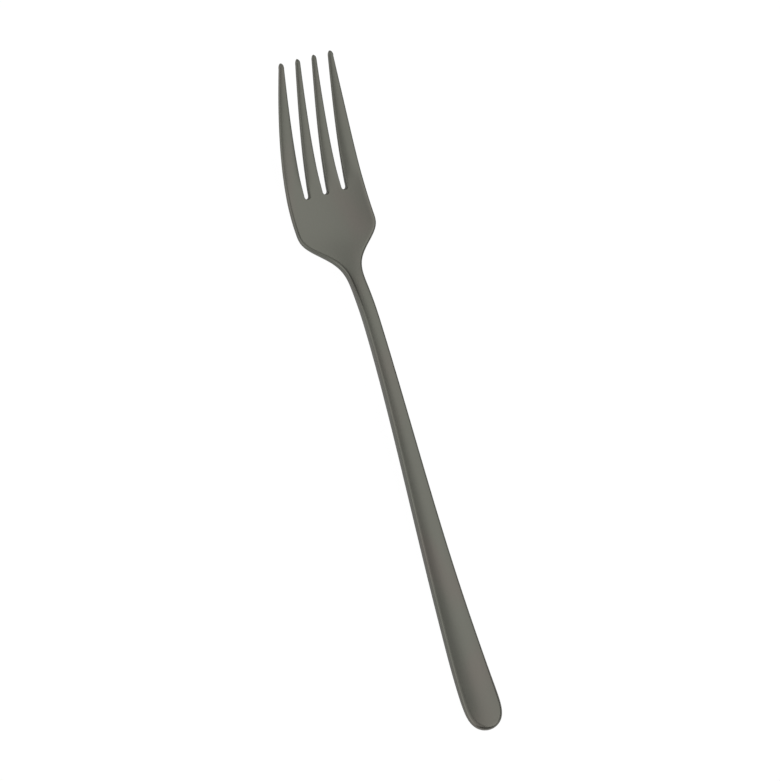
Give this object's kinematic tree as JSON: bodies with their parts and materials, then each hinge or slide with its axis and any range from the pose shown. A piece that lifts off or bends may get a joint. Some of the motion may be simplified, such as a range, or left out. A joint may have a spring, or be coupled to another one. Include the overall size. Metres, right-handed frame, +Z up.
{
  "type": "dinner fork",
  "caption": "Slim one-piece dinner fork with a flared handle, an arched narrow neck, a shallow dished head and long tapered tines.",
  "frame": {"origin": "under the middle of the fork, on the surface that it lies on", "axes": "+Y along the fork from the handle towards the tips of the tines, +Z up with the dish facing up, +X across the head; the fork is its own mirror image in the plane X = 0"},
  "size_m": [0.0254, 0.2052, 0.0184],
  "materials": {
    "dark_steel": "dark grey satin coating over stainless steel"
  },
  "bodies": {
    "root": {"fork": "dark_steel"}
  },
  "joints": []
}
